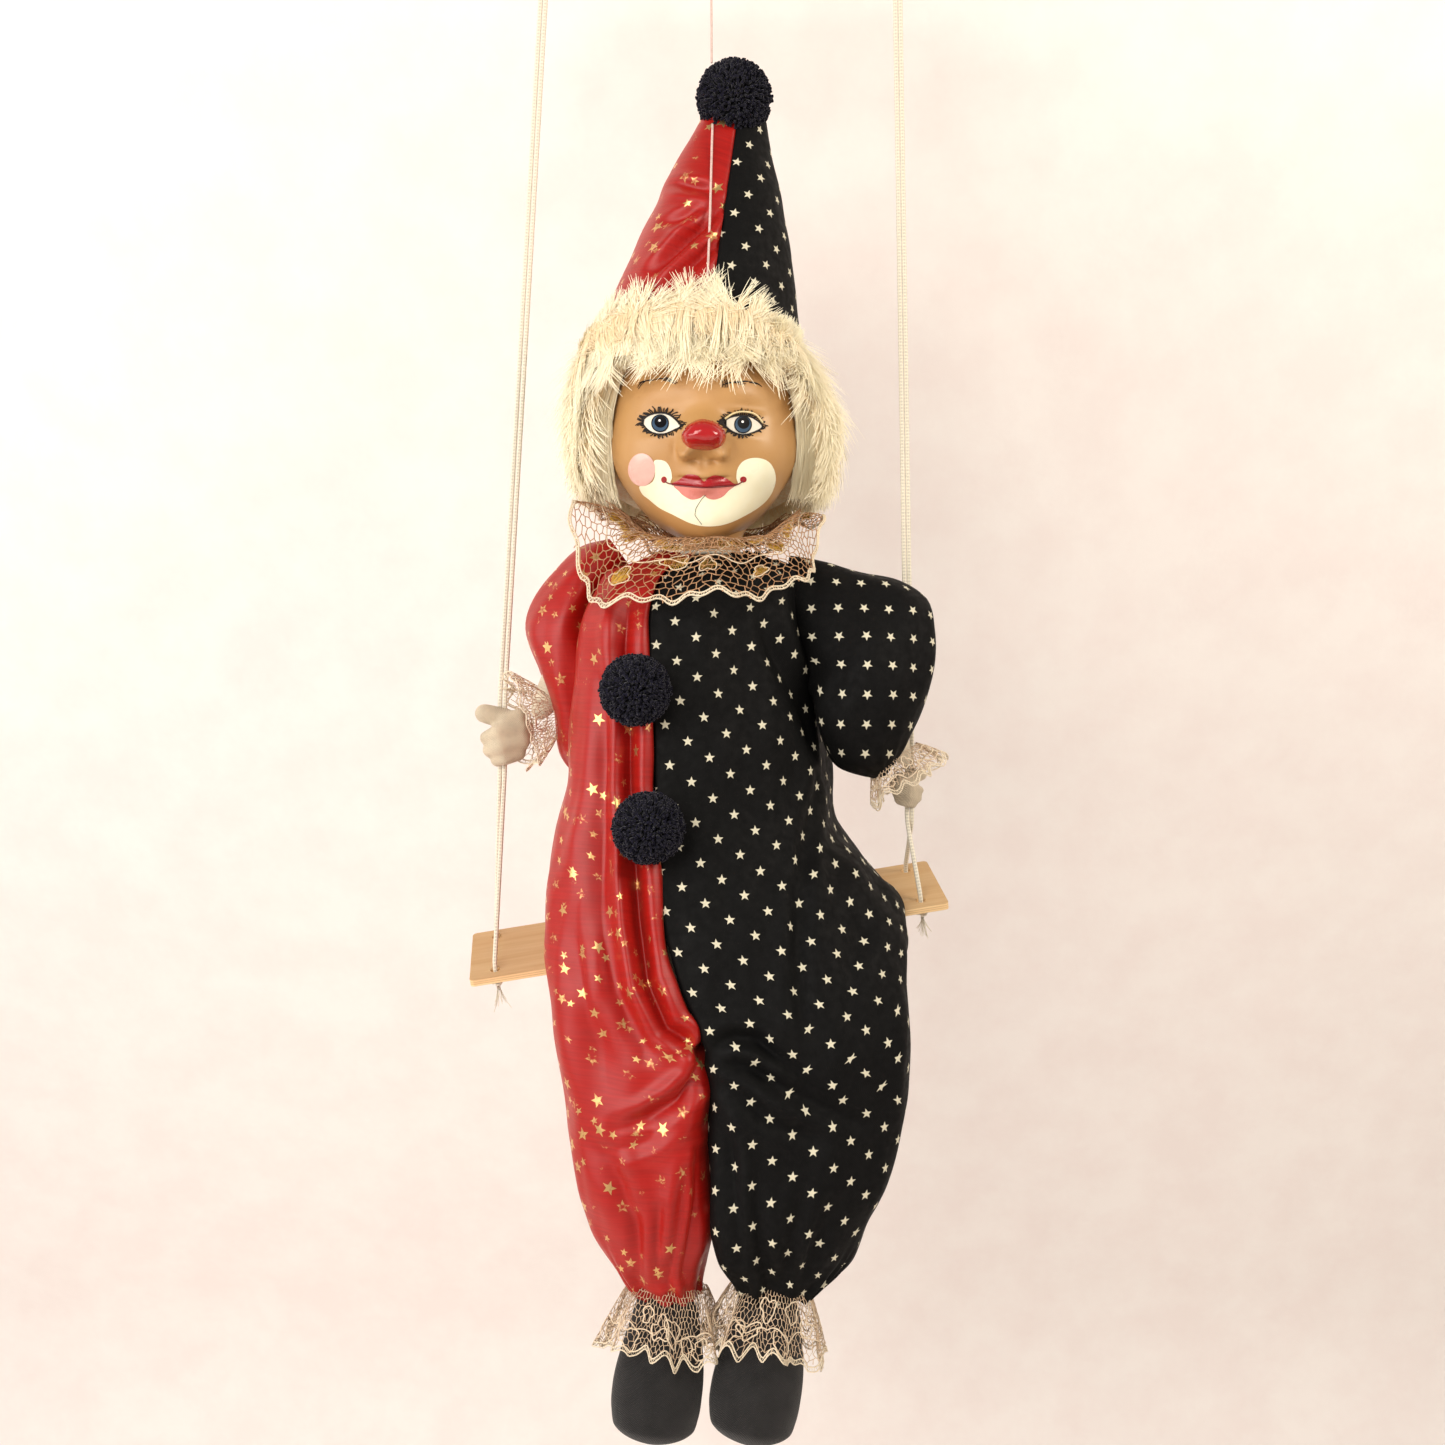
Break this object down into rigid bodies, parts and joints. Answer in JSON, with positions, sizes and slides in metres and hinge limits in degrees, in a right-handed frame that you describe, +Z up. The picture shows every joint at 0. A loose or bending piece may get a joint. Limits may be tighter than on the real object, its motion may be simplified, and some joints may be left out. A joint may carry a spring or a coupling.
{
  "type": "marionette puppet",
  "caption": "Hanging clown doll marionette with a porcelain face, a red and black star costume and a lace collar, seated on a plywood swing hung by cords from a wooden bar",
  "frame": {"origin": "centre of the hang hole in the hanger bar", "axes": "X to the viewer's right, Y away from the viewer, Z up"},
  "size_m": [0.2108, 0.1464, 0.6437],
  "materials": {
    "bar_wood": "planed",
    "plywood": "sawn",
    "cord": "braided",
    "thread": "twisted",
    "stuffed_calico": "plain weave",
    "black_felt": "brushed",
    "hand_cloth": "knit",
    "porcelain": "satin painted",
    "wig_fur": "long pile",
    "red_satin": "satin with gold foil print",
    "black_print": "printed cotton",
    "navy_yarn": "cut pile",
    "lace": "net with gold thread"
  },
  "bodies": {
    "hanger": {"hanger_bar": "bar_wood", "hanger_knots": "cord"},
    "swing": {"head_thread": "thread", "right_front_cord": "cord", "right_back_cord": "cord", "left_front_cord": "cord", "left_back_cord": "cord", "swing_seat": "plywood", "seat_knots": "cord", "torso_stuffing": "stuffed_calico", "neck_tie": "cord", "right_hand": "hand_cloth", "left_hand": "hand_cloth", "costume_red_half": "red_satin", "costume_black_half": "black_print", "upper_chest_pompom": "navy_yarn", "lower_chest_pompom": "navy_yarn", "lace_collar": "lace"},
    "turning_head": {"head": "porcelain", "wig": "wig_fur", "hat_red_panel": "red_satin", "hat_black_panel": "black_print", "hat_pompom": "navy_yarn", "hat_thread": "thread"},
    "right_lower_leg": {"right_leg": "stuffed_calico", "right_foot": "black_felt", "red_trouser_leg": "red_satin", "right_ankle_lace": "lace"},
    "left_lower_leg": {"left_leg": "stuffed_calico", "left_foot": "black_felt", "black_trouser_leg": "black_print", "left_ankle_lace": "lace"},
    "right_sleeved_arm": {"right_arm": "stuffed_calico", "red_sleeve": "red_satin", "right_lace_cuff": "lace"},
    "left_sleeved_arm": {"left_arm": "stuffed_calico", "black_sleeve": "black_print", "left_lace_cuff": "lace"}
  },
  "joints": [
    {"name": "swing_pivot", "type": "hinge", "parent": "hanger", "child": "swing", "pos_m": [0, 0, -0.0142], "axis": [1, 0, 0], "range_deg": [-25, 25]},
    {"name": "head_turn", "type": "hinge", "parent": "swing", "child": "turning_head", "pos_m": [-0.004, 0.007, -0.2622], "axis": [0, 0, 1], "range_deg": [-35, 35]},
    {"name": "right_leg_bend", "type": "hinge", "parent": "swing", "child": "right_lower_leg", "pos_m": [-0.03, -0.039, -0.4282], "axis": [-1, 0, 0], "range_deg": [-4, 65]},
    {"name": "left_leg_bend", "type": "hinge", "parent": "swing", "child": "left_lower_leg", "pos_m": [0.026, -0.039, -0.4282], "axis": [-1, 0, 0], "range_deg": [-4, 65]},
    {"name": "right_arm_swivel", "type": "hinge", "parent": "swing", "child": "right_sleeved_arm", "pos_m": [-0.058, 0.008, -0.2822], "axis": [-0.3919, 0, -0.92], "range_deg": [-15, 12]},
    {"name": "left_arm_swivel", "type": "hinge", "parent": "swing", "child": "left_sleeved_arm", "pos_m": [0.044, 0.001, -0.2832], "axis": [0.4501, 0.0122, -0.8929], "range_deg": [-15, 10]}
  ]
}
